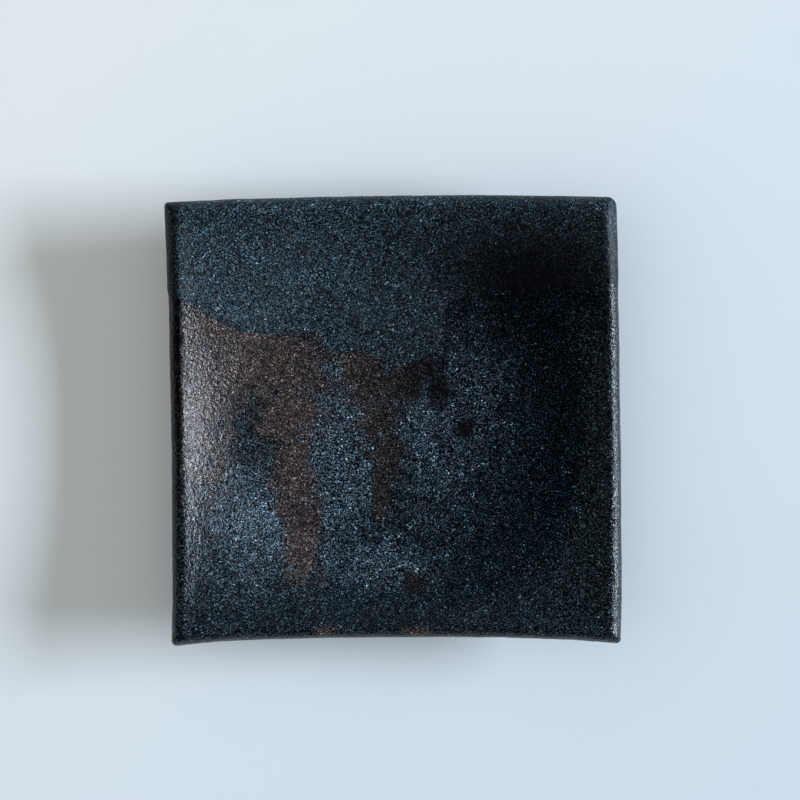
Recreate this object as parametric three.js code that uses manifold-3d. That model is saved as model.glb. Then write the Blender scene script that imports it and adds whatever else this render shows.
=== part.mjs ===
// A hand-built square stoneware plate: one rolled slab pressed into a round hollow, its edges turned up and
// its corners lifted, four clay feet luted under it, a dark base glaze, and a second glaze poured over its
// back third.

import * as THREE from 'three';
import { mergeVertices } from 'three/addons/utils/BufferGeometryUtils.js';
import Module from 'manifold-3d';

// Sizes in millimetres and angles in degrees. X runs to the right, Y to the back and Z up.

// The plate seen from above, over its base glaze
const plateWidth = 179;
const plateDepth = 177;

// The slab, the slope that its hollowed floor ends on, the bend that turns its edges up, and its rounded lip
const slabThickness = 7;
const dishAngle = 6;
const bendRadius = 53;
const wallAngle = 40;
const lipBulge = 2.2;
const cornerLift = 6.3;

// How the round floor grows into the square rim: the rounding of the wall's corners low down, and the power
// of the change, which is higher where the wall stays round until close under the lip
const wallCornerRadius = 45;
const squaringPower = 5;

// The hand that cut the slab: how far each corner drifted from a true rectangle, and its radius
const corners = [
  { name: 'front_left', x: -1, y: -1, driftX: 1.3, driftY: -0.3, radius: 2 },
  { name: 'front_right', x: 1, y: -1, driftX: 1, driftY: 0.6, radius: 2 },
  { name: 'back_right', x: 1, y: 1, driftX: -1.1, driftY: 0.9, radius: 3.6 },
  { name: 'back_left', x: -1, y: 1, driftX: -1.4, driftY: -1.1, radius: 1.6 },
];

// The sides, each from the corner of its own number to the next: the bow of its middle, out or in, and
// the power of its curve, which is higher where the bow is flat and drops off close to the corners
const sides = [
  { outX: 0, outY: -1, bow: -2.3, power: 4 },
  { outX: 1, outY: 0, bow: 1.3, power: 2.5 },
  { outX: 0, outY: 1, bow: 2, power: 2 },
  { outX: -1, outY: 0, bow: -0.6, power: 4 },
];

// The feet: pellets of clay pressed on under the flat base
const footHeight = 3.5;
const footRadius = 9;
const footEdgeRadius = 1.2;
const footFilletRadius = 1.6;
const footInset = 11.5;

// The base glaze, and the band of bare clay that it leaves above the flat base
const glazeThickness = 0.6;
const bareBand = 14;

// The poured glaze, and how far it runs from the back of the plate. Its edge from left to right has
// one run that dripped and one wide lobe: across is a share of half the width, down a share of the reach.
const pourThickness = 0.5;
const pourBareBand = 24;
const pourReach = 50;
const pourEdge = [
  { across: -1, down: 0.78 },
  { across: -0.88, down: 0.87 },
  { across: -0.79, down: 0.97 },
  { across: -0.69, down: 1.06 },
  { across: -0.54, down: 1.09 },
  { across: -0.36, down: 1.05 },
  { across: -0.29, down: 1.17 },
  { across: -0.24, down: 1.24 },
  { across: -0.17, down: 1.21 },
  { across: -0.03, down: 1.29 },
  { across: 0.05, down: 1.31 },
  { across: 0.14, down: 1.27 },
  { across: 0.215, down: 1.17 },
  { across: 0.25, down: 0.84 },
  { across: 0.36, down: 0.78 },
  { across: 0.54, down: 0.73 },
  { across: 1, down: 0.7 },
];

// How finely the curves are drawn
const cornerSteps = 3;
const sideSteps = 10;
const wallSteps = 7;
const lipSteps = 6;
const underSteps = 2;
const footSteps = 24;
const footArcSteps = 3;
const pourEdgeSteps = 60;
const overrun = 5;
const mergeDistance = 1e-4;

// What follows from the sizes
const halfWidth = plateWidth / 2;
const halfDepth = plateDepth / 2;
const bend = THREE.MathUtils.degToRad(wallAngle);
const dish = THREE.MathUtils.degToRad(dishAngle);
const floorTop = footHeight + slabThickness;
const middleRadius = bendRadius + slabThickness / 2;
const lipInset = Math.hypot(
  (slabThickness / 2 + glazeThickness) * Math.sin(bend),
  (lipBulge + glazeThickness) * Math.cos(bend),
);
const floorInset = lipInset + middleRadius * Math.sin(bend);
const floorReach = halfWidth - floorInset + bendRadius * Math.sin(dish);
const dishDepth = (floorReach * Math.tan(dish)) / 2;
const footReach = Math.min(halfWidth, halfDepth) - floorInset - footInset;
const quarterSteps = 2 * cornerSteps + sideSteps;
const ringSteps = sides.length * quarterSteps;
const gridHalf = quarterSteps / 2;

const wasm = await Module();
wasm.setup();

// The slab's upper or under face at a point of its bend, from its slope at the floor's edge (share 0)
// to the lip (share 1). Its ring is round at the floor and the hand's own outline at the lip.
function wallSection(share, slope, radius, order) {
  const tilt = Math.asin(THREE.MathUtils.lerp(Math.sin(slope), Math.sin(bend), share));
  return {
    inset: floorInset - radius * Math.sin(tilt),
    height: floorTop + bendRadius - radius * Math.cos(tilt),
    lift: (1 - Math.cos(tilt)) / (1 - Math.cos(bend)),
    hand: (Math.sin(tilt) / Math.sin(bend)) ** squaringPower,
    order,
  };
}

// The lip, half an ellipse across the slab's cut edge, from the upper face (0) to the under face (1)
function lipSection(share, skin, order) {
  const turn = Math.PI * share;
  const across = (slabThickness / 2 + skin) * Math.cos(turn);
  const along = (lipBulge + skin) * Math.sin(turn);
  return {
    inset: lipInset + across * Math.sin(bend) - along * Math.cos(bend),
    height: floorTop + bendRadius - (middleRadius - across) * Math.cos(bend) + along * Math.sin(bend),
    lift: 1,
    hand: 1,
    order,
  };
}

// The rings of the under face below the lip, down to a bare band. Every body that has them has the same
// ones, and each coat's end is one of them.
function underShares(bare) {
  const shares = [];
  let from = 1;
  for (const band of [pourBareBand, bareBand, 0].sort((a, b) => b - a)) {
    if (band < bare) break;
    const to = band / ((bendRadius + slabThickness) * Math.sin(bend));
    for (let step = 1; step <= underSteps; step += 1) {
      shares.push(THREE.MathUtils.lerp(from, to, step / underSteps));
    }
    from = to;
  }
  return shares;
}

// The plate's section from the floor's edge over the lip and down the under face to a bare band,
// with a skin of glaze on it
function plateSections(skin, bare) {
  const sections = [];
  for (let step = 0; step < wallSteps; step += 1) {
    sections.push(wallSection(step / wallSteps, dish, bendRadius - skin, sections.length));
  }
  for (let step = 0; step <= lipSteps; step += 1) {
    sections.push(lipSection(step / lipSteps, skin, sections.length));
  }
  for (const share of underShares(bare)) {
    sections.push(wallSection(share, 0, bendRadius + slabThickness + skin, sections.length));
  }
  sections[0].hollow = dishDepth;
  return sections;
}

// A corner of the hand-cut outline at a section's inset, with the centre of its rounding
function cornerAt(corner, section) {
  const radius = THREE.MathUtils.lerp(wallCornerRadius, corner.radius, section.hand);
  return {
    radius,
    x: corner.x * (halfWidth - section.inset - radius) + corner.driftX,
    y: corner.y * (halfDepth - section.inset - radius) + corner.driftY,
  };
}

// A point of the hand-cut outline. Steps count anticlockwise from the middle of the front left corner.
function outlinePoint(section, step) {
  const number = Math.floor(step / quarterSteps) % sides.length;
  const side = sides[number];
  const start = cornerAt(corners[number], section);
  const end = cornerAt(corners[(number + 1) % corners.length], section);
  const out = Math.atan2(side.outY, side.outX);
  const eighth = Math.PI / 4;
  const along = (step % quarterSteps) - cornerSteps;
  if (along < 0) {
    const angle = out + (eighth * along) / cornerSteps;
    return [start.x + start.radius * Math.cos(angle), start.y + start.radius * Math.sin(angle)];
  }
  if (along > sideSteps) {
    const angle = out + (eighth * (along - sideSteps)) / cornerSteps;
    return [end.x + end.radius * Math.cos(angle), end.y + end.radius * Math.sin(angle)];
  }
  const share = along / sideSteps;
  const bow = side.bow * (1 - Math.abs(2 * share - 1) ** side.power);
  const reach = THREE.MathUtils.lerp(start.radius, end.radius, share) + bow;
  return [
    THREE.MathUtils.lerp(start.x, end.x, share) + reach * side.outX,
    THREE.MathUtils.lerp(start.y, end.y, share) + reach * side.outY,
  ];
}

// One ring of points round the plate, between a round one and the hand-cut outline. Its corners are lifted,
// and the middles of its sides are not.
function plateRing(section) {
  const acrossHalf = halfWidth - section.inset;
  const deepHalf = halfDepth - section.inset;
  const points = [];
  for (let step = 0; step < ringSteps; step += 1) {
    const angle = 2 * Math.PI * (step / ringSteps) - (3 * Math.PI) / 4;
    const [cutX, cutY] = outlinePoint(section, step);
    const x = THREE.MathUtils.lerp(acrossHalf * Math.cos(angle), cutX, section.hand);
    const y = THREE.MathUtils.lerp(deepHalf * Math.sin(angle), cutY, section.hand);
    const cornerShare = (x / acrossHalf) * (y / deepHalf);
    const z = section.height + cornerLift * section.lift * cornerShare ** 2;
    points.push(new THREE.Vector3(x, y, z));
  }
  return { points, order: section.order, hollow: section.hollow ?? 0 };
}

// The step of a ring that a cell corner on the border of a floor's grid stands on
function borderStep(column, row) {
  if (row === -gridHalf && column < gridHalf) return column + gridHalf;
  if (column === gridHalf && row < gridHalf) return quarterSteps + row + gridHalf;
  if (row === gridHalf && column > -gridHalf) return 2 * quarterSteps + gridHalf - column;
  return 3 * quarterSteps + gridHalf - row;
}

// A floor inside a ring: a grid whose loops shrink to the ring's middle, hollowed as the ring says
function addFloor(positions, triangles, ring, firstPoint, facesUp) {
  const middle = new THREE.Vector3();
  for (const point of ring.points) middle.addScaledVector(point, 1 / ringSteps);
  const numbers = new Map();
  for (let row = -gridHalf; row <= gridHalf; row += 1) {
    for (let column = -gridHalf; column <= gridHalf; column += 1) {
      const loop = Math.max(Math.abs(column), Math.abs(row));
      if (loop === gridHalf) {
        numbers.set(`${column},${row}`, firstPoint + (borderStep(column, row) % ringSteps));
        continue;
      }
      const spread = loop === 0 ? 0 : gridHalf / loop;
      const step = loop === 0 ? 0 : borderStep(column * spread, row * spread);
      const before = ring.points[Math.floor(step) % ringSteps];
      const after = ring.points[Math.ceil(step) % ringSteps];
      const border = before.clone().lerp(after, step - Math.floor(step));
      const point = middle.clone().lerp(border, loop / gridHalf);
      point.z -= ring.hollow * (1 - (loop / gridHalf) ** 2);
      numbers.set(`${column},${row}`, positions.length / 3);
      positions.push(point.x, point.y, point.z);
    }
  }
  for (let row = -gridHalf; row < gridHalf; row += 1) {
    for (let column = -gridHalf; column < gridHalf; column += 1) {
      const a = numbers.get(`${column},${row}`);
      const b = numbers.get(`${column + 1},${row}`);
      const c = numbers.get(`${column + 1},${row + 1}`);
      const d = numbers.get(`${column},${row + 1}`);
      if (facesUp) triangles.push(a, b, c, a, c, d);
      else triangles.push(a, c, b, a, d, c);
    }
  }
}

// A closed body lofted through rings, with a floor in the first ring and another in the last.
// Two bodies that share a surface split its cells along the same diagonals.
function loftRings(rings) {
  const positions = [];
  const triangles = [];
  for (const ring of rings) {
    for (const point of ring.points) positions.push(point.x, point.y, point.z);
  }
  for (let number = 0; number + 1 < rings.length; number += 1) {
    const outwards = rings[number + 1].order > rings[number].order;
    for (let step = 0; step < ringSteps; step += 1) {
      const next = (step + 1) % ringSteps;
      const a = number * ringSteps + step;
      const b = (number + 1) * ringSteps + step;
      const c = (number + 1) * ringSteps + next;
      const d = number * ringSteps + next;
      if (outwards) triangles.push(a, b, c, a, c, d);
      else triangles.push(a, b, d, b, c, d);
    }
  }
  const lastRing = rings.length - 1;
  addFloor(positions, triangles, rings[0], 0, true);
  addFloor(positions, triangles, rings[lastRing], lastRing * ringSteps, false);
  const geometry = new THREE.BufferGeometry();
  geometry.setAttribute('position', new THREE.Float32BufferAttribute(positions, 3));
  geometry.setIndex(triangles);
  geometry.computeVertexNormals();
  return geometry;
}

// The slab: its section runs from the middle of the upper face to the middle of the under face
function makeSlab() {
  return loftRings(plateSections(0, 0).map(plateRing));
}

// A coat of glaze between two skins, over the face and the lip and down to a bare band
function makeCoat(innerSkin, outerSkin, bare) {
  const outer = plateSections(outerSkin, bare).map(plateRing);
  const inner = plateSections(innerSkin, bare).map(plateRing);
  return loftRings([...outer, ...inner.reverse()]);
}

function toSolid(geometry) {
  const bare = geometry.clone();
  bare.deleteAttribute('normal');
  bare.deleteAttribute('uv');
  const merged = mergeVertices(bare, mergeDistance);
  return new wasm.Manifold(
    new wasm.Mesh({
      numProp: 3,
      vertProperties: new Float32Array(merged.attributes.position.array),
      triVerts: new Uint32Array(merged.index.array),
    }),
  );
}

function toGeometry(solid) {
  const mesh = solid.getMesh();
  const geometry = new THREE.BufferGeometry();
  geometry.setAttribute('position', new THREE.Float32BufferAttribute(mesh.vertProperties, 3));
  geometry.setIndex(new THREE.Uint32BufferAttribute(mesh.triVerts, 1));
  geometry.computeVertexNormals();
  return geometry;
}

// The ground that the pour covers, as a tall prism: all behind the pour's wavy edge
function makePourGround() {
  const edge = new THREE.SplineCurve(
    pourEdge.map(({ across, down }) => new THREE.Vector2(across * halfWidth, halfDepth - down * pourReach)),
  );
  const points = edge.getPoints(pourEdgeSteps);
  const left = -halfWidth - overrun;
  const right = halfWidth + overrun;
  const back = halfDepth + overrun;
  const ground = new THREE.Shape([
    new THREE.Vector2(left, points[0].y),
    ...points,
    new THREE.Vector2(right, points[pourEdgeSteps].y),
    new THREE.Vector2(right, back),
    new THREE.Vector2(left, back),
  ]);
  const depth = floorTop + bendRadius + cornerLift;
  return new THREE.ExtrudeGeometry(ground, { depth, bevelEnabled: false });
}

function makePour() {
  const coat = makeCoat(glazeThickness, glazeThickness + pourThickness, pourBareBand);
  return toGeometry(toSolid(coat).intersect(toSolid(makePourGround())));
}

// Points on a quarter circle of a foot's profile
function quarterArc(centreX, centreY, radius, from, to) {
  const points = [];
  for (let step = 0; step <= footArcSteps; step += 1) {
    const angle = THREE.MathUtils.degToRad(THREE.MathUtils.lerp(from, to, step / footArcSteps));
    points.push(new THREE.Vector2(centreX + radius * Math.cos(angle), centreY + radius * Math.sin(angle)));
  }
  return points;
}

// A foot: a pellet turned about its middle, with a soft lower edge and the fillet of its luting
function makeFoot() {
  const fillet = Math.min(footFilletRadius, footHeight - footEdgeRadius);
  const profile = [
    new THREE.Vector2(0, 0),
    ...quarterArc(footRadius - footEdgeRadius, footEdgeRadius, footEdgeRadius, -90, 0),
    ...quarterArc(footRadius + fillet, footHeight - fillet, fillet, 180, 90),
    new THREE.Vector2(0, footHeight),
  ];
  return new THREE.LatheGeometry(profile, footSteps).rotateX(Math.PI / 2);
}

const plate = new THREE.Group();

function addPart(name, geometry, finish) {
  const mesh = new THREE.Mesh(geometry, new THREE.MeshStandardMaterial({ metalness: 0, ...finish }));
  mesh.name = name;
  plate.add(mesh);
  return mesh;
}

const bareClay = { color: '#4a3a30', roughness: 0.85 };

addPart('clay_slab', makeSlab(), bareClay);
for (const corner of corners) {
  const foot = addPart(`foot_${corner.name}`, makeFoot(), bareClay);
  foot.position.x = corner.x * footReach * Math.SQRT1_2;
  foot.position.y = corner.y * footReach * Math.SQRT1_2;
}
addPart('base_glaze', makeCoat(0, glazeThickness, bareBand), { color: '#1d2126', roughness: 0.45 });
addPart('poured_glaze', makePour(), { color: '#26313a', roughness: 0.4 });

// The origin is under the middle of the plate, on the surface that it stands on
const middle = new THREE.Box3().setFromObject(plate).getCenter(new THREE.Vector3());
plate.position.set(-middle.x, -middle.y, 0);
plate.updateMatrixWorld(true);

export default plate;
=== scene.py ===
# %% [markdown]
# # A square stoneware plate
#
# The plate is some 180 mm across and was built by hand: one rolled slab of dark clay with its edges turned
# up, four small feet, a dark first glaze, and a second glaze poured over its back third. The CAD model holds
# these pieces at their real size. This lesson gives them what the kiln gave the real ones: an uneven skin,
# a grain that sparkles, iron stains, and a pour with a soft edge. No piece moves from its place.

# %% Load the CAD model
import math

import bpy
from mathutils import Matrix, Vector, noise
from mathutils.bvhtree import BVHTree
from mathutils.kdtree import KDTree


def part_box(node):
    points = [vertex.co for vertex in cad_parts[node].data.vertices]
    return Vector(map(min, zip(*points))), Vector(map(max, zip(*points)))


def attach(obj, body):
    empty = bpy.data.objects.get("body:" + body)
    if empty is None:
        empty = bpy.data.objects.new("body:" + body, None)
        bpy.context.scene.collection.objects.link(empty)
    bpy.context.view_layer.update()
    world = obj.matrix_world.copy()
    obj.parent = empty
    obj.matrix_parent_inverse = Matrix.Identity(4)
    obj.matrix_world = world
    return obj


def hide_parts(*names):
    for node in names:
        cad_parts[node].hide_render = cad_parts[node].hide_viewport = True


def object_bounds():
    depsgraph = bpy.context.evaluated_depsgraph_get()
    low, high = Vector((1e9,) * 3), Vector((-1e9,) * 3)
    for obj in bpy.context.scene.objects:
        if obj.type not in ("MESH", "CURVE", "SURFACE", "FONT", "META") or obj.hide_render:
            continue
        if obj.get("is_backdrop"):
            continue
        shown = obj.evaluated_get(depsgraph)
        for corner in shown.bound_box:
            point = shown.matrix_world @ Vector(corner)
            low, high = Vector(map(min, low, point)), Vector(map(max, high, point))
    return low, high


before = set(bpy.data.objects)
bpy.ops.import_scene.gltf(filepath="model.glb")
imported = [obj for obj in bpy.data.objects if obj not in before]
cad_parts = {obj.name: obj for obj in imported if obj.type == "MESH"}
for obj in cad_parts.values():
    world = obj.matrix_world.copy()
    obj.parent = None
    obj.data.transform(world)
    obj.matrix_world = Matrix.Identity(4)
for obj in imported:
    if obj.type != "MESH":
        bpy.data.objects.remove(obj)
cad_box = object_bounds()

MM = 0.001
BODY = "root"
print("CAD nodes:", ", ".join(sorted(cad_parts)))

# %% [markdown]
# ## The camera
#
# The photograph looks straight down. A camera can be placed by eye until the outline fits, but here two
# measures settle it: what one pixel covers on the table, and the pixel where the plate's own origin lies.
# From a metre above, the lifted corners come out as much larger than the base as they do in the photograph.

# %% Set up the camera
IMAGE_SIDE = 800
PLATE_MIDDLE = (393.2, 419.2)
PIXEL = 0.407 * MM
CAMERA_HEIGHT = 1000 * MM

bpy.ops.object.camera_add(
    location=(
        (IMAGE_SIDE / 2 - PLATE_MIDDLE[0]) * PIXEL,
        (PLATE_MIDDLE[1] - IMAGE_SIDE / 2) * PIXEL,
        CAMERA_HEIGHT,
    ),
    rotation=(0, 0, 0),
)
camera = bpy.context.object
camera.data.lens = camera.data.sensor_width * CAMERA_HEIGHT / (IMAGE_SIDE * PIXEL)
bpy.context.scene.camera = camera
bpy.context.scene.view_settings.view_transform = "Standard"
print(f"camera: lens {camera.data.lens:.1f} mm, {CAMERA_HEIGHT:.2f} m above the table")

# %% [markdown]
# ## Colours and nodes
#
# Every finish below is a tree of shader nodes, so that it holds from all sides and needs no picture file.
# Nodes can be made in the editor one by one. In a script a single helper is enough: it adds a node, sets
# it, and fills each input with a value or a link. Colours are written as a designer picks them, in sRGB.

# %% Define the colour and node helpers
def linear(colour):
    """An sRGB hex colour as the linear colour that a shader takes."""
    shares = [int(colour[at:at + 2], 16) / 255 for at in (1, 3, 5)]
    return [c / 12.92 if c <= 0.04045 else ((c + 0.055) / 1.055) ** 2.4 for c in shares] + [1.0]


def fill(tree, node, inputs):
    """Gives each input of a node its value, or a link from another node's output."""
    for name, value in inputs.items():
        if isinstance(value, bpy.types.NodeSocket):
            tree.links.new(value, node.inputs[name])
        else:
            node.inputs[name].default_value = value


def add(tree, kind, inputs, out=0, **settings):
    """Adds a node with its settings and inputs, and returns one of its outputs."""
    node = tree.nodes.new("ShaderNode" + kind)
    for name, value in settings.items():
        setattr(node, name, value)
    fill(tree, node, inputs)
    return node.outputs[out]


def new_finish(name):
    """A material, its node tree and its shader."""
    material = bpy.data.materials.new(name)
    material.use_nodes = True
    tree = material.node_tree
    return material, tree, tree.nodes["Principled BSDF"]


print("a mid grey of #808080 is", round(linear("#808080")[0], 3), "in linear light")

# %% [markdown]
# ## The table and the light
#
# The plate lies on a pale painted table beside a window. The window is a soft light, low over the table:
# the rim's shadow is about twice as long as the rim is high. An area lamp of the window's size gives that
# shadow. The rest of the room is a dome. What it sheds on matt surfaces comes from above and from the pale
# wall across from the window, which fills the shadow. What a glaze mirrors of it is bright on the window's
# side and dim on the other, as in a room with one window. A Light Path node tells the two kinds of ray
# apart.

# %% Lay the table
TABLE_SIDE = 12.0
# The way towards the painted light on the table, and how far it fades
FADE_TOWARDS = (-1.0, 1.0, 0.0)
FADE_REACH = 300 * MM

bpy.ops.mesh.primitive_plane_add(size=TABLE_SIDE)
table = bpy.context.object
table.name = "table"
table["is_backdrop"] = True

# Brushed paint, satin: a pale blue grey, with painted light that makes it whiter towards the back on the
# left
paint, tree, shader = new_finish("satin table paint")
place = add(tree, "TexCoord", {}, out="Object")
towards_painted_light = add(tree, "VectorMath", {0: place, 1: FADE_TOWARDS}, out="Value", operation="DOT_PRODUCT")
fade = add(tree, "MapRange", {"Value": towards_painted_light, "From Min": -FADE_REACH, "From Max": FADE_REACH})
colour = add(
    tree, "Mix", {0: fade, 6: linear("#d4e1ed"), 7: linear("#ebeff2")}, out=2, data_type="RGBA"
)
fill(tree, shader, {"Base Color": colour, "Roughness": 0.7, "Specular IOR Level": 0.3})
table.data.materials.append(paint)
print(f"table: {TABLE_SIDE:.0f} m square")

# %% Hang the window light
WINDOW_DISTANCE = 8.0
WINDOW_TURN = math.radians(4)
WINDOW_RISE = math.radians(20.5)
WINDOW_HALF_WIDTH = math.radians(15)
WINDOW_HALF_HEIGHT = math.radians(5.9)
WINDOW_SHARE = 0.52
WINDOW_TINT = (0.9, 1.0, 1.12)

towards_window = Vector((
    math.cos(WINDOW_RISE) * math.cos(WINDOW_TURN),
    math.cos(WINDOW_RISE) * math.sin(WINDOW_TURN),
    math.sin(WINDOW_RISE),
))
bpy.ops.object.light_add(
    type="AREA",
    location=towards_window * WINDOW_DISTANCE,
    rotation=towards_window.to_track_quat("Z", "Y").to_euler(),
)
window = bpy.context.object
window.name = "window"
window.data.shape = "RECTANGLE"
window.data.size = 2 * WINDOW_DISTANCE * math.tan(WINDOW_HALF_WIDTH)
window.data.size_y = 2 * WINDOW_DISTANCE * math.tan(WINDOW_HALF_HEIGHT)
# The power that gives the table the window's share of a plain level of light
window.data.energy = WINDOW_SHARE * math.pi ** 2 * WINDOW_DISTANCE ** 2 / math.sin(WINDOW_RISE)
window.data.color = WINDOW_TINT
print(f"window: {window.data.size:.2f} by {window.data.size_y:.2f} m, {window.data.energy:.0f} W")

# %% [markdown]
# The dome's light on matt surfaces grows from the horizon to the zenith, and the pale wall adds its own.
# What a glaze mirrors grows from the dim side to the bright one, and is tinted a sky blue.

# %% Light the dome
ROOM_LIGHT = (0.12, 0.46)
PALE_WALL = 1.1
ROOM_SHEEN = (0.015, 0.55)
SHEEN_FROM = -0.5
BRIGHT_SIDE = Vector((0.8, 0.5, -0.35)).normalized()

world = bpy.data.worlds.new("room")
bpy.context.scene.world = world
world.use_nodes = True
tree = world.node_tree
direction = add(tree, "TexCoord", {}, out="Generated")
parts = add(tree, "SeparateXYZ", {"Vector": direction}).node
to_bright = add(tree, "VectorMath", {0: direction, 1: BRIGHT_SIDE}, out="Value", operation="DOT_PRODUCT")
dome = add(tree, "MapRange", {
    "Value": parts.outputs["Z"], "To Min": ROOM_LIGHT[0], "To Max": ROOM_LIGHT[1],
})
to_left = add(tree, "Math", {0: parts.outputs["X"], 1: 0.0}, operation="MINIMUM")
wall = add(tree, "Math", {0: to_left, 1: to_left}, operation="MULTIPLY")
light = add(tree, "Math", {0: wall, 1: PALE_WALL, 2: dome}, operation="MULTIPLY_ADD")
sheen = add(tree, "MapRange", {
    "Value": to_bright, "From Min": SHEEN_FROM, "To Min": ROOM_SHEEN[0], "To Max": ROOM_SHEEN[1],
})
glossy = add(tree, "LightPath", {}, out="Is Glossy Ray")
level = add(tree, "Mix", {0: glossy, 2: light, 3: sheen}, data_type="FLOAT")
tint = add(tree, "Mix", {0: glossy, 6: linear("#f9faf2"), 7: linear("#93c3f4")}, out=2, data_type="RGBA")
fill(tree, tree.nodes["Background"], {"Color": tint, "Strength": level})
print(f"dome: light of {ROOM_LIGHT[0]} to {ROOM_LIGHT[1]}, sheen of {ROOM_SHEEN[0]} to {ROOM_SHEEN[1]}")

# %% [markdown]
# ## From CAD solid to clay
#
# A CAD solid is exact, and a handmade thing is not. The pieces could be modelled again from a grid, but then
# they would fit each other only by luck. So each starts as a copy of its CAD solid. The copy comes as loose
# triangles: it is welded, its triangles are paired into four-sided faces, and a subdivision surface then
# makes it smooth and fine enough to be roughened.

# %% Define how a copy is taken and worked
WELD = 0.01 * MM
PAIR_ANGLE = math.radians(60)


def pick(piece):
    """Selects one piece alone and makes it active, for the operators that follow."""
    bpy.ops.object.select_all(action="DESELECT")
    piece.select_set(True)
    bpy.context.view_layer.objects.active = piece


def welded_copy(node, name):
    """A copy of a CAD solid as a piece of its own, with its points merged and its triangles paired."""
    piece = bpy.data.objects.new(name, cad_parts[node].data.copy())
    bpy.context.scene.collection.objects.link(piece)
    piece.data.materials.clear()
    pick(piece)
    bpy.ops.mesh.customdata_custom_splitnormals_clear()
    bpy.ops.object.mode_set(mode="EDIT")
    bpy.ops.mesh.select_all(action="SELECT")
    bpy.ops.mesh.remove_doubles(threshold=WELD)
    bpy.ops.mesh.tris_convert_to_quads(face_threshold=PAIR_ANGLE, shape_threshold=PAIR_ANGLE)
    bpy.ops.mesh.mark_sharp(clear=True)
    bpy.ops.object.mode_set(mode="OBJECT")
    bpy.ops.object.shade_smooth()
    return piece


def work(piece, kind, **settings):
    """Adds a modifier to a piece, sets it and applies it."""
    pick(piece)
    modifier = piece.modifiers.new(kind.lower(), kind)
    for name, value in settings.items():
        setattr(modifier, name, value)
    bpy.ops.object.modifier_apply(modifier=modifier.name)


def roughen(piece, size, height, depth=1, level=0.5, group=""):
    """Moves a piece's surface in and out by a cloudy relief of a size across and a height."""
    relief = bpy.data.textures.new(f"relief of {size / MM:.1f} mm", "CLOUDS")
    relief.noise_scale = size
    relief.noise_depth = depth
    work(
        piece, "DISPLACE", texture=relief, texture_coords="LOCAL", strength=height,
        mid_level=level, vertex_group=group,
    )


def count(piece):
    """Says how many triangles a piece has."""
    piece.data.calc_loop_triangles()
    print(f"{piece.name}: {len(piece.data.loop_triangles)} triangles")


print(f"copies are welded within {WELD / MM:.2f} mm")

# %% [markdown]
# ## The slab
#
# The slab carries everything. Only its underside shows, below the line where the first glaze stops: dry,
# dark stoneware, rolled flat and a little uneven. Its copy gets two levels of subdivision, and then two
# reliefs, a broad one for the hand and a fine one for the sand in the clay.

# %% Make the slab
slab = welded_copy("clay_slab", "stoneware_slab")
quads = sum(len(face.vertices) == 4 for face in slab.data.polygons)
print(f"slab: {quads} of {len(slab.data.polygons)} faces have four sides")
work(slab, "SUBSURF", levels=2, render_levels=2)
roughen(slab, size=22 * MM, height=0.25 * MM)
roughen(slab, size=2.2 * MM, height=0.12 * MM, depth=2)
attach(slab, BODY)
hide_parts("clay_slab")
count(slab)

# %% [markdown]
# ## The feet
#
# Each foot is a pellet of the same clay, pressed on with slip and wiped flat below. The four are alike in
# the CAD model. Subdivided and roughened in place, no two stay alike, since the relief differs from place
# to place. The face that stands on the table is held flat.

# %% Make the feet
FOOT_NODES = ["foot_front_left", "foot_front_right", "foot_back_right", "foot_back_left"]
WIPED_HEIGHT = 0.3 * MM

feet = []
for node in FOOT_NODES:
    foot = welded_copy(node, node.replace("foot", "pellet"))
    work(foot, "SUBSURF", levels=2, render_levels=2)
    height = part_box(node)[1].z
    sides = foot.vertex_groups.new(name="sides")
    free = [v.index for v in foot.data.vertices if WIPED_HEIGHT < v.co.z < height - WIPED_HEIGHT]
    sides.add(free, 1.0, "REPLACE")
    roughen(foot, size=9 * MM, height=0.8 * MM, level=0.7, group="sides")
    roughen(foot, size=2 * MM, height=0.15 * MM, group="sides")
    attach(foot, BODY)
    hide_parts(node)
    count(foot)
    feet.append(foot)

# %% [markdown]
# ## The first glaze
#
# The first glaze is a coat of a little over half a millimetre, on the face, over the lip and part of the way
# down the outside. It is modelled as a closed coat whose inner skin lies on the slab, so only its outer skin
# may move. A point is on the outer skin when no point of the slab lies close to it.

# %% Take the first glaze and find its outer skin
base = welded_copy("base_glaze", "first_glaze")
slab_points = KDTree(len(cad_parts["clay_slab"].data.vertices))
for number, point in enumerate(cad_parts["clay_slab"].data.vertices):
    slab_points.insert(point.co, number)
slab_points.balance()

ON_SLAB = 0.2 * MM
skin = base.vertex_groups.new(name="skin")
outer = [v.index for v in base.data.vertices if slab_points.find(v.co)[2] > ON_SLAB]
skin.add(outer, 1.0, "REPLACE")
print(f"first glaze: {len(outer)} of {len(base.data.vertices)} points are on its outer skin")

# %% [markdown]
# A brush or a sponge leaves the glaze's lower edge, so it wanders. The two sharp rings at the coat's end are
# selected by their angle, and each point slides along the wall, towards or from its neighbour up the wall.

# %% Let the lower edge wander
EDGE_ANGLE = math.radians(60)
EDGE_WANDER = 1.6 * MM
EDGE_WAVE = 26 * MM


def select_sharp(piece):
    """Selects a piece's sharp edges alone."""
    pick(piece)
    bpy.ops.object.mode_set(mode="EDIT")
    bpy.ops.mesh.select_mode(type="EDGE")
    bpy.ops.mesh.select_all(action="DESELECT")
    bpy.ops.mesh.edges_select_sharp(sharpness=EDGE_ANGLE)
    bpy.ops.object.mode_set(mode="OBJECT")


select_sharp(base)
points = base.data.vertices
slides = {}
for edge in base.data.edges:
    ends = sorted(edge.vertices, key=lambda number: points[number].select)
    if points[ends[1]].select and not points[ends[0]].select:
        end = points[ends[1]].co
        up_the_wall = (points[ends[0]].co - end).normalized()
        slides[ends[1]] = up_the_wall * EDGE_WANDER * noise.noise(end / EDGE_WAVE)
for number, slide in slides.items():
    points[number].co += slide
print(f"first glaze: {len(slides)} points of its lower edge wander")

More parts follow.
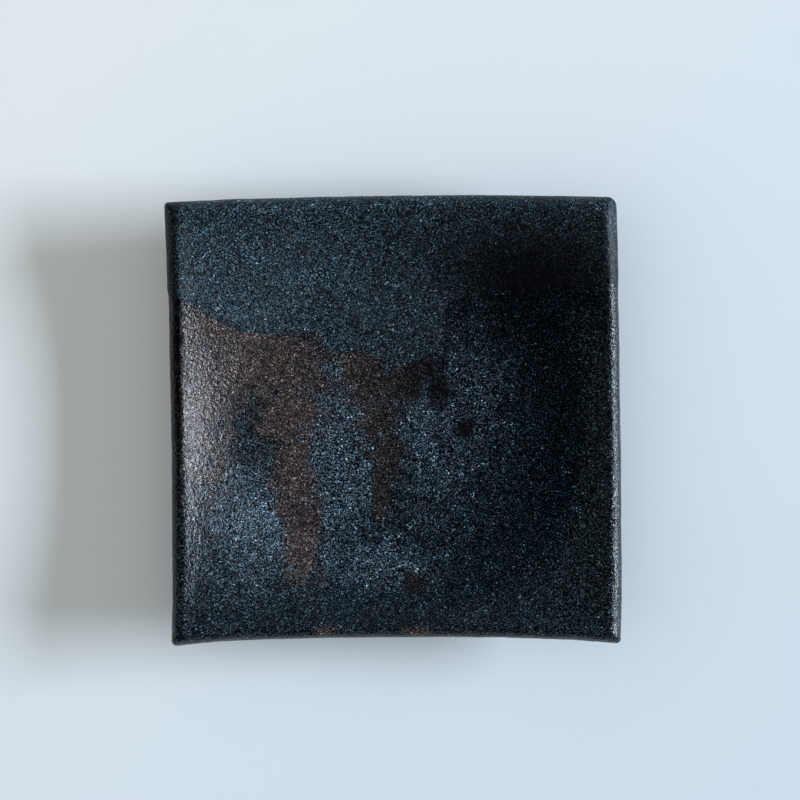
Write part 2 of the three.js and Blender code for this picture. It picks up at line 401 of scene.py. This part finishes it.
# %% [markdown]
# The face is seen closest, so after two levels of subdivision its faces are cut once more. Three reliefs
# follow, as in the real skin: the swell of the slab under the hand, the pull of the glaze as it melted, and
# the coarsest of its grain. The finer grain is too small for the mesh and comes from the finish.

# %% Refine and roughen the first glaze
FACING_DOWN = -0.2
WHOLLY = 0.99

work(base, "SUBSURF", levels=2, render_levels=2)


def skin_share(piece, point):
    """How far a point belongs to the outer skin, from 0 to 1."""
    shares = [g.weight for g in point.groups if g.group == piece.vertex_groups["skin"].index]
    return shares[0] if shares else 0.0


def on_skin(face):
    """Whether a face of the first glaze lies wholly on its outer skin."""
    return min(shares[v] for v in face.vertices) > WHOLLY


def select_faces(piece, wanted):
    """Selects the faces of a piece that a test picks, and leaves the piece in edit mode."""
    pick(piece)
    bpy.ops.object.mode_set(mode="EDIT")
    bpy.ops.mesh.select_mode(type="FACE")
    bpy.ops.mesh.select_all(action="DESELECT")
    bpy.ops.object.mode_set(mode="OBJECT")
    for face in piece.data.polygons:
        face.select = wanted(face)
    bpy.ops.object.mode_set(mode="EDIT")


shares = [skin_share(base, point) for point in base.data.vertices]
select_faces(base, lambda face: face.normal.z > FACING_DOWN and on_skin(face))
bpy.ops.mesh.subdivide(number_cuts=1)
bpy.ops.object.mode_set(mode="OBJECT")

roughen(base, size=30 * MM, height=0.4 * MM, group="skin")
roughen(base, size=7 * MM, height=0.22 * MM, group="skin")
roughen(base, size=2.4 * MM, height=0.2 * MM, group="skin")
bpy.ops.object.shade_smooth()
count(base)

# %% [markdown]
# ## The second glaze
#
# The second glaze was poured over the back and ran towards the middle. It follows every dent of the first,
# so its piece is cut from the first glaze's finished skin and raised. How high depends on how far a point
# lies inside the pour's border, which is read from the CAD solid: well inside it is full, near the border it
# thins, and outside it dips under the first glaze. The line that shows is where the two skins cross, so it
# can be crisp or frayed with no ragged faces.

# %% Measure the distance to the pour's border
BORDER_STEP = 0.3 * MM
COVER = 2 * MM
COVER_REACH = 1.2 * COVER

pour_solid = welded_copy("poured_glaze", "pour_solid")
cover = BVHTree.FromPolygons(
    [v.co for v in pour_solid.data.vertices], [f.vertices for f in pour_solid.data.polygons]
)
select_sharp(pour_solid)
border = []
for edge in pour_solid.data.edges:
    if edge.select:
        start, end = (pour_solid.data.vertices[v].co for v in edge.vertices)
        steps = max(1, math.ceil((end - start).length / BORDER_STEP))
        border.extend(start.lerp(end, step / steps) for step in range(steps))
bpy.data.objects.remove(pour_solid)

border_points = KDTree(len(border))
for number, point in enumerate(border):
    border_points.insert(point, number)
border_points.balance()


def inside_pour(point, normal):
    """The distance from a point of the first glaze to the pour's border, negative outside the pour."""
    distance = border_points.find(point)[2]
    hit = cover.ray_cast(point + normal * COVER, -normal, COVER_REACH)
    return distance if hit[0] else -distance


print(f"second glaze: its border has {len(border)} points")

# %% [markdown]
# On the left the real edge is crisp. To the right it frays, where the pour was thin and broke over the
# grain. A noise added to the distance does both: little on the left, much on the right.

# %% Define the fray and the height of the second glaze
CRISP_FRAY = 0.5 * MM
LOOSE_FRAY = 4.5 * MM
FRAY_FROM = 15 * MM
FRAY_TO = 50 * MM
FRAY_SIZE = 4 * MM
# How fast the fray's finer detail fades, how much finer each step of it is, and how many steps it has
FRAY_FALL = 0.9
FRAY_STEP = 2.0
FRAY_STEPS = 3
POUR_LAP = 0.6 * MM
POUR_THINS = 4.5 * MM
POUR_DEPTH = 0.28 * MM
POUR_DIP = 0.12 * MM


def frayed(point, normal, distance):
    """The distance to the border with the fray added, which is only on the face."""
    share = min(max((point.x - FRAY_FROM) / (FRAY_TO - FRAY_FROM), 0), 1)
    reach = (CRISP_FRAY + (LOOSE_FRAY - CRISP_FRAY) * share) * max(normal.z, 0)
    return distance + reach * noise.fractal(point / FRAY_SIZE, FRAY_FALL, FRAY_STEP, FRAY_STEPS)


def pour_height(distance):
    """How far the pour stands over the first glaze at a distance inside its border."""
    share = min(max((distance + POUR_LAP) / POUR_THINS, 0), 1)
    return POUR_DEPTH * share * share * (3 - 2 * share) - POUR_DIP * (1 - share)


print(f"second glaze: up to {pour_height(POUR_THINS) / MM:.2f} mm over the first")

# %% [markdown]
# The faces of the skin inside the border, and some way around it, are duplicated and separated as a piece of
# their own. Each of its points then moves along its normal, up or down.

# %% Cut the second glaze and raise it
MOSTLY = 0.5
OFF_SKIN = -1.0
POUR_MARGIN = 7 * MM

shares = [skin_share(base, point) for point in base.data.vertices]
distances = base.data.attributes.new("inside_pour", "FLOAT", "POINT")
for point, share, value in zip(base.data.vertices, shares, distances.data):
    value.value = inside_pour(point.co, point.normal) if share > MOSTLY else OFF_SKIN
inside = [value.value for value in distances.data]
select_faces(base, lambda face: max(inside[v] for v in face.vertices) > -POUR_MARGIN and on_skin(face))
bpy.ops.mesh.duplicate()
bpy.ops.mesh.separate(type="SELECTED")
bpy.ops.object.mode_set(mode="OBJECT")
pour = next(piece for piece in bpy.context.selected_objects if piece != base)
pour.name = "second_glaze"

moved = []
for point, value in zip(pour.data.vertices, pour.data.attributes["inside_pour"].data):
    value.value = frayed(point.co, point.normal, value.value)
    moved.append(point.co + point.normal * pour_height(value.value))
for point, place in zip(pour.data.vertices, moved):
    point.co = place
print(f"second glaze: {len(moved)} points, of which {sum(d > 0 for d in inside)} lie inside its border")

# %% [markdown]
# What dips well under the first glaze never shows, so it is deleted. Solidify then gives the sheet its
# thickness, down into the coat below, and closes it.

# %% Trim and close the second glaze
POUR_TRIM = 1.5 * MM
POUR_WALL = 0.5 * MM

kept = [value.value for value in pour.data.attributes["inside_pour"].data]
select_faces(pour, lambda face: max(kept[v] for v in face.vertices) < -POUR_TRIM)
bpy.ops.mesh.delete(type="FACE")
bpy.ops.object.mode_set(mode="OBJECT")
work(pour, "SOLIDIFY", thickness=POUR_WALL, offset=-1.0)
bpy.ops.object.shade_smooth()
count(pour)

for piece, node in ((base, "base_glaze"), (pour, "poured_glaze")):
    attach(piece, BODY)
    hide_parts(node)

# %% [markdown]
# ## Bare stoneware
#
# The clay is an iron-bearing stoneware, fired until it is dense but not shiny. Sand in it makes a matt skin
# with paler grains and dark specks.

# %% Finish the bare stoneware
CLAY_CLOUD = 14 * MM
SAND = 0.8 * MM
SAND_RELIEF = 0.25 * MM
SPECK_SPACING = 2.6 * MM
SPECK_EDGE = (0.1, 0.22)

stoneware, tree, shader = new_finish("fired stoneware")
place = add(tree, "TexCoord", {}, out="Object")
cloud = add(tree, "TexNoise", {"Vector": place, "Scale": 1 / CLAY_CLOUD, "Detail": 4.0})
sand = add(tree, "TexNoise", {"Vector": place, "Scale": 1 / SAND, "Detail": 3.0, "Roughness": 0.7})
specks = add(tree, "TexVoronoi", {"Vector": place, "Scale": 1 / SPECK_SPACING})
speck = add(tree, "MapRange", {
    "Value": specks, "From Min": SPECK_EDGE[0], "From Max": SPECK_EDGE[1], "To Min": 1.0, "To Max": 0.0,
})
body = add(
    tree, "Mix", {0: cloud, 6: linear("#3a2c24"), 7: linear("#5b4638")}, out=2, data_type="RGBA"
)
sandy = add(tree, "Mix", {0: sand, 6: body, 7: linear("#6b5545")}, out=2, data_type="RGBA")
colour = add(tree, "Mix", {0: speck, 6: sandy, 7: linear("#1d1613")}, out=2, data_type="RGBA")
bump = add(tree, "Bump", {"Height": sand, "Strength": 0.6, "Distance": SAND_RELIEF})
fill(tree, shader, {"Base Color": colour, "Roughness": 0.85, "Normal": bump})
for piece in [slab, *feet]:
    piece.data.materials.append(stoneware)
print("finished:", stoneware.name)

# %% [markdown]
# ## The first glaze's finish
#
# It is a dry, satin iron glaze: blue-black, under a crust of grains less than a millimetre wide. Where it
# was thin it stays brown, in runs that start under the pour. Where it was thick, pale blue crystals grew.
# Such stains could be painted on a picture of the plate. Here each is a soft oval, given by its middle and
# its reach, and a noise breaks their outlines, so they stay sharp however close the camera comes.

# %% Place the stains of the first glaze
# Each is the middle and the half sizes, across and along, in millimetres
IRON_RUNS = [
    ((-76, 38), (14, 10)),
    ((-78, 10), (12, 40)),
    ((-62, 24), (22, 22)),
    ((-42, 20), (17, 16)),
    ((-41, 2), (13, 20)),
    ((-40, -22), (9, 20)),
    ((-36, -46), (8, 18)),
    ((-13, 18), (10, 14)),
    ((-6, 2), (9, 12)),
    ((-2, -14), (6, 12)),
    ((-5, -30), (4, 12)),
    ((6, 14), (10, 9)),
    ((12, 20), (8, 9)),
    ((18, 12), (6, 7)),
    ((29, -4), (5, 5)),
    ((9, -64), (6, 5)),
    ((-85, 20), (5, 20)),
    ((-26, -84), (5, 2)),
    ((11, -84), (6, 2)),
]
CRYSTALS = [
    ((-22, -12), (17, 44)),
    ((-55, -40), (17, 21)),
    ((16, 0), (20, 34)),
    ((33, 14), (16, 26)),
    ((-6, -58), (22, 9)),
]
FAR_OUTSIDE = 10.0


def oval_field(tree, place, ovals):
    """How deep a place lies in the nearest oval: 1 in its middle, 0 on its outline, less outside."""
    nearest = FAR_OUTSIDE
    for (x, y), (across, along) in ovals:
        local = add(tree, "Mapping", {
            "Vector": place,
            "Location": (-x / across, -y / along, 0),
            "Scale": (1 / (across * MM), 1 / (along * MM), 0),
        })
        length = add(tree, "VectorMath", {0: local}, out="Value", operation="LENGTH")
        nearest = add(tree, "Math", {0: length, 1: nearest}, operation="MINIMUM")
    return add(tree, "Math", {0: 1.0, 1: nearest}, operation="SUBTRACT")


print(f"{len(IRON_RUNS)} iron stains and {len(CRYSTALS)} patches of crystals")

# %% [markdown]
# The grain makes the surface look dry. A fine noise gives light and dark grains: painted light on their
# tops and painted shade, near black, in the hollows between them. A pattern of cells gives each grain a
# brightness of its own, a painted stand-in for grains that face the light or turn from it, and a few carry a
# painted glint; a broader noise crowds them together. The relief is coarser, as in a real crust: bumps of
# about a millimetre, each of which catches the window or lies in the shade. A finer relief would only spread
# a grey veil, since a pixel averages it. The finest grains of such a glaze are too small to show, so the
# grain is drawn a little over half a millimetre wide, as coarse as it needs to be. The same grain serves
# both glazes.

# %% Make the grain
GRAIN = 0.58 * MM
GRAIN_EDGE = (0.42, 0.6)
GRAIN_STEEPNESS = 2.5
# From the painted shade in the grain's hollows to the painted light on its tops
GRAIN_LIGHT = (0.02, 1.06)
CELL = 0.6 * MM
CELL_LIGHT = (0.2, 1.5)
# Which cells carry a painted glint, and how much brighter it makes them
PAINTED_GLINT_LOT = 0.955
PAINTED_GLINT_LIGHT = 2.6
CLUSTER = 3.5 * MM
CLUSTER_EDGE = (0.3, 0.7)
CLUSTER_LIGHT = (0.55, 1.45)
PEEL = 1.35 * MM
PEEL_SHARE = 3.0
GRAIN_SHARE = 0.4
RELIEF = 0.13 * MM


def crust(tree, place):
    """The grain of a glaze: its height, its brightness with painted light, shade and glints, and a lot for
    each of its cells.
    """
    fine = add(tree, "TexNoise", {"Vector": place, "Scale": 1 / GRAIN, "Detail": 1.5, "Roughness": 0.7})
    grain = add(tree, "MapRange", {"Value": fine, "From Min": GRAIN_EDGE[0], "From Max": GRAIN_EDGE[1]})
    steep = add(tree, "Math", {0: grain, 1: GRAIN_STEEPNESS}, operation="POWER")
    # Painted light on the tops of the grain, painted shade in its hollows
    lit = add(tree, "MapRange", {"Value": steep, "To Min": GRAIN_LIGHT[0], "To Max": GRAIN_LIGHT[1]})

    cells = add(tree, "TexVoronoi", {"Vector": place, "Scale": 1 / CELL}, out="Color")
    lots = add(tree, "SeparateColor", {"Color": cells}).node
    plain = add(tree, "MapRange", {
        "Value": lots.outputs["Red"], "To Min": CELL_LIGHT[0], "To Max": CELL_LIGHT[1],
    })
    # A few cells carry a painted glint
    glinting_cell = add(tree, "Math", {0: lots.outputs["Blue"], 1: PAINTED_GLINT_LOT}, operation="GREATER_THAN")
    own = add(tree, "Math", {0: glinting_cell, 1: PAINTED_GLINT_LIGHT, 2: plain}, operation="MULTIPLY_ADD")

    cluster = add(tree, "TexNoise", {"Vector": place, "Scale": 1 / CLUSTER, "Detail": 3.0, "Roughness": 0.6})
    crowd = add(tree, "MapRange", {
        "Value": cluster, "From Min": CLUSTER_EDGE[0], "From Max": CLUSTER_EDGE[1],
        "To Min": CLUSTER_LIGHT[0], "To Max": CLUSTER_LIGHT[1],
    })
    shaded = add(tree, "Math", {0: lit, 1: crowd}, operation="MULTIPLY")
    bright = add(tree, "Math", {0: shaded, 1: own}, operation="MULTIPLY")

    peel = add(tree, "TexNoise", {"Vector": place, "Scale": 1 / PEEL, "Detail": 1.0})
    low = add(tree, "Math", {0: grain, 1: GRAIN_SHARE}, operation="MULTIPLY")
    height = add(tree, "Math", {0: peel, 1: PEEL_SHARE, 2: low}, operation="MULTIPLY_ADD")
    return height, bright, lots.outputs["Green"]


LOT_STRENGTH = (1.4, 0.65)


def toned(tree, colour, lot):
    """A colour that is stronger in some cells of the grain and greyer in others, by their lot."""
    strength = add(tree, "MapRange", {"Value": lot, "To Min": LOT_STRENGTH[0], "To Max": LOT_STRENGTH[1]})
    return add(tree, "HueSaturation", {"Saturation": strength, "Color": colour})


print(f"grain: {GRAIN / MM:.2f} mm wide, on bumps of {PEEL / MM:.1f} mm")

# %% [markdown]
# The glaze is painted darker towards the right, almost black: painted shade, for on that side the floor
# and wall turn away from the window and lie in the right rim's shadow. The lip keeps less of it, for the
# glaze ran thin there and the lip stands up into the light. The outer lip on the left faces away from the
# window and is given painted shade too. Three ramps along the plate's axes give the depth of this shade at
# every place.
# One more dark patch lies at the back on the right, as a soft oval.

# %% Make the painted shade
# From where to where across the plate the painted shade grows to full
POOL_FROM = -40 * MM
POOL_TO = 66 * MM
# Over what heights the lip keeps less of the painted shade, and the share it keeps
LIP_FROM = 17.5 * MM
LIP_TO = 22 * MM
LIP_KEEPS = 0.15
# Where the painted shade on the left lip's outer face starts and ends, and how deep it gets
OUTER_LIP_FROM = -83 * MM
OUTER_LIP_TO = -86.5 * MM
OUTER_LIP_SHADE = 0.95


def hollow_shade(tree, place):
    """How deep the painted shade is at a place, from 0 to 1."""
    parts = add(tree, "SeparateXYZ", {"Vector": place}).node
    slope = add(tree, "MapRange", {"Value": parts.outputs["X"], "From Min": POOL_FROM, "From Max": POOL_TO})
    shade_below_lip = add(tree, "MapRange", {
        "Value": parts.outputs["Z"], "From Min": LIP_FROM, "From Max": LIP_TO,
        "To Min": 1.0, "To Max": LIP_KEEPS,
    })
    inner = add(tree, "Math", {0: slope, 1: shade_below_lip}, operation="MULTIPLY")
    outer = add(tree, "MapRange", {
        "Value": parts.outputs["X"], "From Min": OUTER_LIP_FROM, "From Max": OUTER_LIP_TO,
        "To Max": OUTER_LIP_SHADE,
    })
    return add(tree, "Math", {0: inner, 1: outer}, operation="MAXIMUM")


DARK_PATCH = [((56, 57), (64, 40))]
DUSK_EDGE = (-0.1, 0.9)


def dusk(tree, place):
    """How far a place lies in the dark patch at the back, from 0 to 1."""
    depth = oval_field(tree, place, DARK_PATCH)
    return add(tree, "MapRange", {
        "Value": depth, "From Min": DUSK_EDGE[0], "From Max": DUSK_EDGE[1],
    }, interpolation_type="SMOOTHSTEP")


print(f"pool: from {POOL_FROM / MM:.0f} to {POOL_TO / MM:.0f} mm across the plate")

# %% [markdown]
# The stains, the crystals, the painted shade and the dark patch are now mixed into one colour. A cloudy
# noise goes into the depth of the ovals, so that their outlines break up as those of real stains do.

# %% Mix the colours of the first glaze
CLOUD = 9 * MM
CLOUD_EDGE = (0.3, 0.7)
STAIN_BREAK = 0.7
IRON_EDGE = (-0.4, 0.55)
IRON_COVER = 0.9
CRYSTAL_EDGE = (-0.6, 0.9)
BROWN_SOONER = 1.9

first, tree, shader = new_finish("dry iron glaze")
place = add(tree, "TexCoord", {}, out="Object")
cloud = add(tree, "TexNoise", {"Vector": place, "Scale": 1 / CLOUD, "Detail": 6.0, "Roughness": 0.72})
broken = add(tree, "MapRange", {
    "Value": cloud, "From Min": CLOUD_EDGE[0], "From Max": CLOUD_EDGE[1],
    "To Min": -STAIN_BREAK, "To Max": STAIN_BREAK,
}, clamp=False)
# The painted shade, and the dark patch at the back on the right
shade_and_patch = add(tree, "Math", {0: hollow_shade(tree, place), 1: dusk(tree, place)}, operation="MAXIMUM")

runs = add(tree, "Math", {0: oval_field(tree, place, IRON_RUNS), 1: broken}, operation="ADD")
iron = add(tree, "MapRange", {
    "Value": runs, "From Min": IRON_EDGE[0], "From Max": IRON_EDGE[1], "To Max": IRON_COVER,
}, interpolation_type="SMOOTHSTEP")
patches = add(tree, "Math", {0: oval_field(tree, place, CRYSTALS), 1: broken}, operation="SUBTRACT")
crystal = add(tree, "MapRange", {
    "Value": patches, "From Min": CRYSTAL_EDGE[0], "From Max": CRYSTAL_EDGE[1],
}, interpolation_type="SMOOTHSTEP")

# Blue where it is thick, brown where it is thin, both darker in the painted shade, the brown sooner
thick = add(
    tree, "Mix", {0: crystal, 6: linear("#36444c"), 7: linear("#687b8c")}, out=2, data_type="RGBA"
)
blue = add(tree, "Mix", {0: shade_and_patch, 6: thick, 7: linear("#11202a")}, out=2, data_type="RGBA")
brown_shade = add(tree, "Math", {0: shade_and_patch, 1: BROWN_SOONER}, operation="MULTIPLY", use_clamp=True)
brown = add(
    tree, "Mix", {0: brown_shade, 6: linear("#70625f"), 7: linear("#130e0d")}, out=2, data_type="RGBA"
)
stained = add(tree, "Mix", {0: iron, 6: blue, 7: brown}, out=2, data_type="RGBA")
print("mixed the colours of:", first.name)

# %% [markdown]
# The colours are then broken up by the grain. Each grain has its own strength of colour, and a few are rust.
# In the brown runs the grain is calmer. In the painted shade the grains are fewer, and their painted light
# stands out more from the black, less so towards the pour. A low roughness over the bumps makes the
# wet-looking glints on the wall that faces the window.

# %% Finish the first glaze
RUST_LOTS = (0.95, 0.97)
RUST_COVER = 0.7
SHADE_HARDENS = 0.4
OPEN_FROM = 45 * MM
OPEN_TO = 0 * MM
OPEN_BOOST = (-0.15, 0.95)
IRON_CALM = 0.25
CALM_LIGHT = 0.3

height, bright, lot = crust(tree, place)
rust = add(tree, "MapRange", {
    "Value": lot, "From Min": RUST_LOTS[0], "From Max": RUST_LOTS[1], "To Max": RUST_COVER,
})
mixed = add(tree, "Mix", {0: rust, 6: stained, 7: linear("#3b2d29")}, out=2, data_type="RGBA")

# In the painted shade the grain's painted light is sparser and brighter, less so towards the pour
harder = add(tree, "Math", {0: shade_and_patch, 1: SHADE_HARDENS, 2: 1.0}, operation="MULTIPLY_ADD")
fewer = add(tree, "Math", {0: bright, 1: harder}, operation="POWER")
along = add(tree, "SeparateXYZ", {"Vector": place}, out="Y")
open_face = add(tree, "MapRange", {
    "Value": along, "From Min": OPEN_FROM, "From Max": OPEN_TO,
    "To Min": OPEN_BOOST[0], "To Max": OPEN_BOOST[1],
})
boost = add(tree, "Math", {0: shade_and_patch, 1: open_face, 2: 1.0}, operation="MULTIPLY_ADD")
sparse = add(tree, "Math", {0: fewer, 1: boost}, operation="MULTIPLY")
calm = add(tree, "MapRange", {"Value": iron, "To Max": IRON_CALM})
evened = add(tree, "Mix", {0: calm, 2: sparse, 3: CALM_LIGHT}, data_type="FLOAT")
colour = add(tree, "VectorMath", {0: toned(tree, mixed, lot), "Scale": evened}, operation="SCALE")

bump = add(tree, "Bump", {"Height": height, "Strength": 1.0, "Distance": RELIEF})
fill(tree, shader, {
    "Base Color": colour, "Roughness": 0.16, "Specular IOR Level": 0.3, "Normal": bump,
})
base.data.materials.append(first)
print("finished:", first.name)

# %% [markdown]
# ## The second glaze's finish
#
# The pour is a coat of a dusky blue green with less gloss and the same grain. It takes the same painted
# shade, a little less deep, and is darkest in the dark patch on the right.

# %% Finish the second glaze
POUR_CLOUD = 12 * MM
POUR_SHADE = 0.8

second, tree, shader = new_finish("poured blue-black glaze")
place = add(tree, "TexCoord", {}, out="Object")
cloud = add(tree, "TexNoise", {"Vector": place, "Scale": 1 / POUR_CLOUD, "Detail": 5.0, "Roughness": 0.7})
thin = add(
    tree, "Mix", {0: cloud, 6: linear("#364a56"), 7: linear("#566c7b")}, out=2, data_type="RGBA"
)
# The same painted shade as on the first glaze, a little less deep
pour_shade = add(tree, "Math", {0: hollow_shade(tree, place), 1: POUR_SHADE}, operation="MULTIPLY")
dark = add(tree, "Math", {0: pour_shade, 1: dusk(tree, place)}, operation="MAXIMUM")
film = add(tree, "Mix", {0: dark, 6: thin, 7: linear("#05111a")}, out=2, data_type="RGBA")

height, bright, lot = crust(tree, place)
colour = add(tree, "VectorMath", {0: toned(tree, film, lot), "Scale": bright}, operation="SCALE")
bump = add(tree, "Bump", {"Height": height, "Strength": 1.0, "Distance": RELIEF})
fill(tree, shader, {
    "Base Color": colour, "Roughness": 0.42, "Specular IOR Level": 0.22, "Normal": bump,
})
pour.data.materials.append(second)
print("finished:", second.name)

# %% [markdown]
# ## The last measure
#
# The looks are meant to keep the plate's size, so the CAD model's box and the finished box are printed side
# by side before the lesson closes.

# %% Compare the sizes and finish
boxes = {"cad": [list(corner) for corner in cad_box], "visual": [list(corner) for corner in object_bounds()]}
for name, (low, high) in boxes.items():
    print(name, "box in mm:", [round(x / MM, 2) for x in low], [round(x / MM, 2) for x in high])
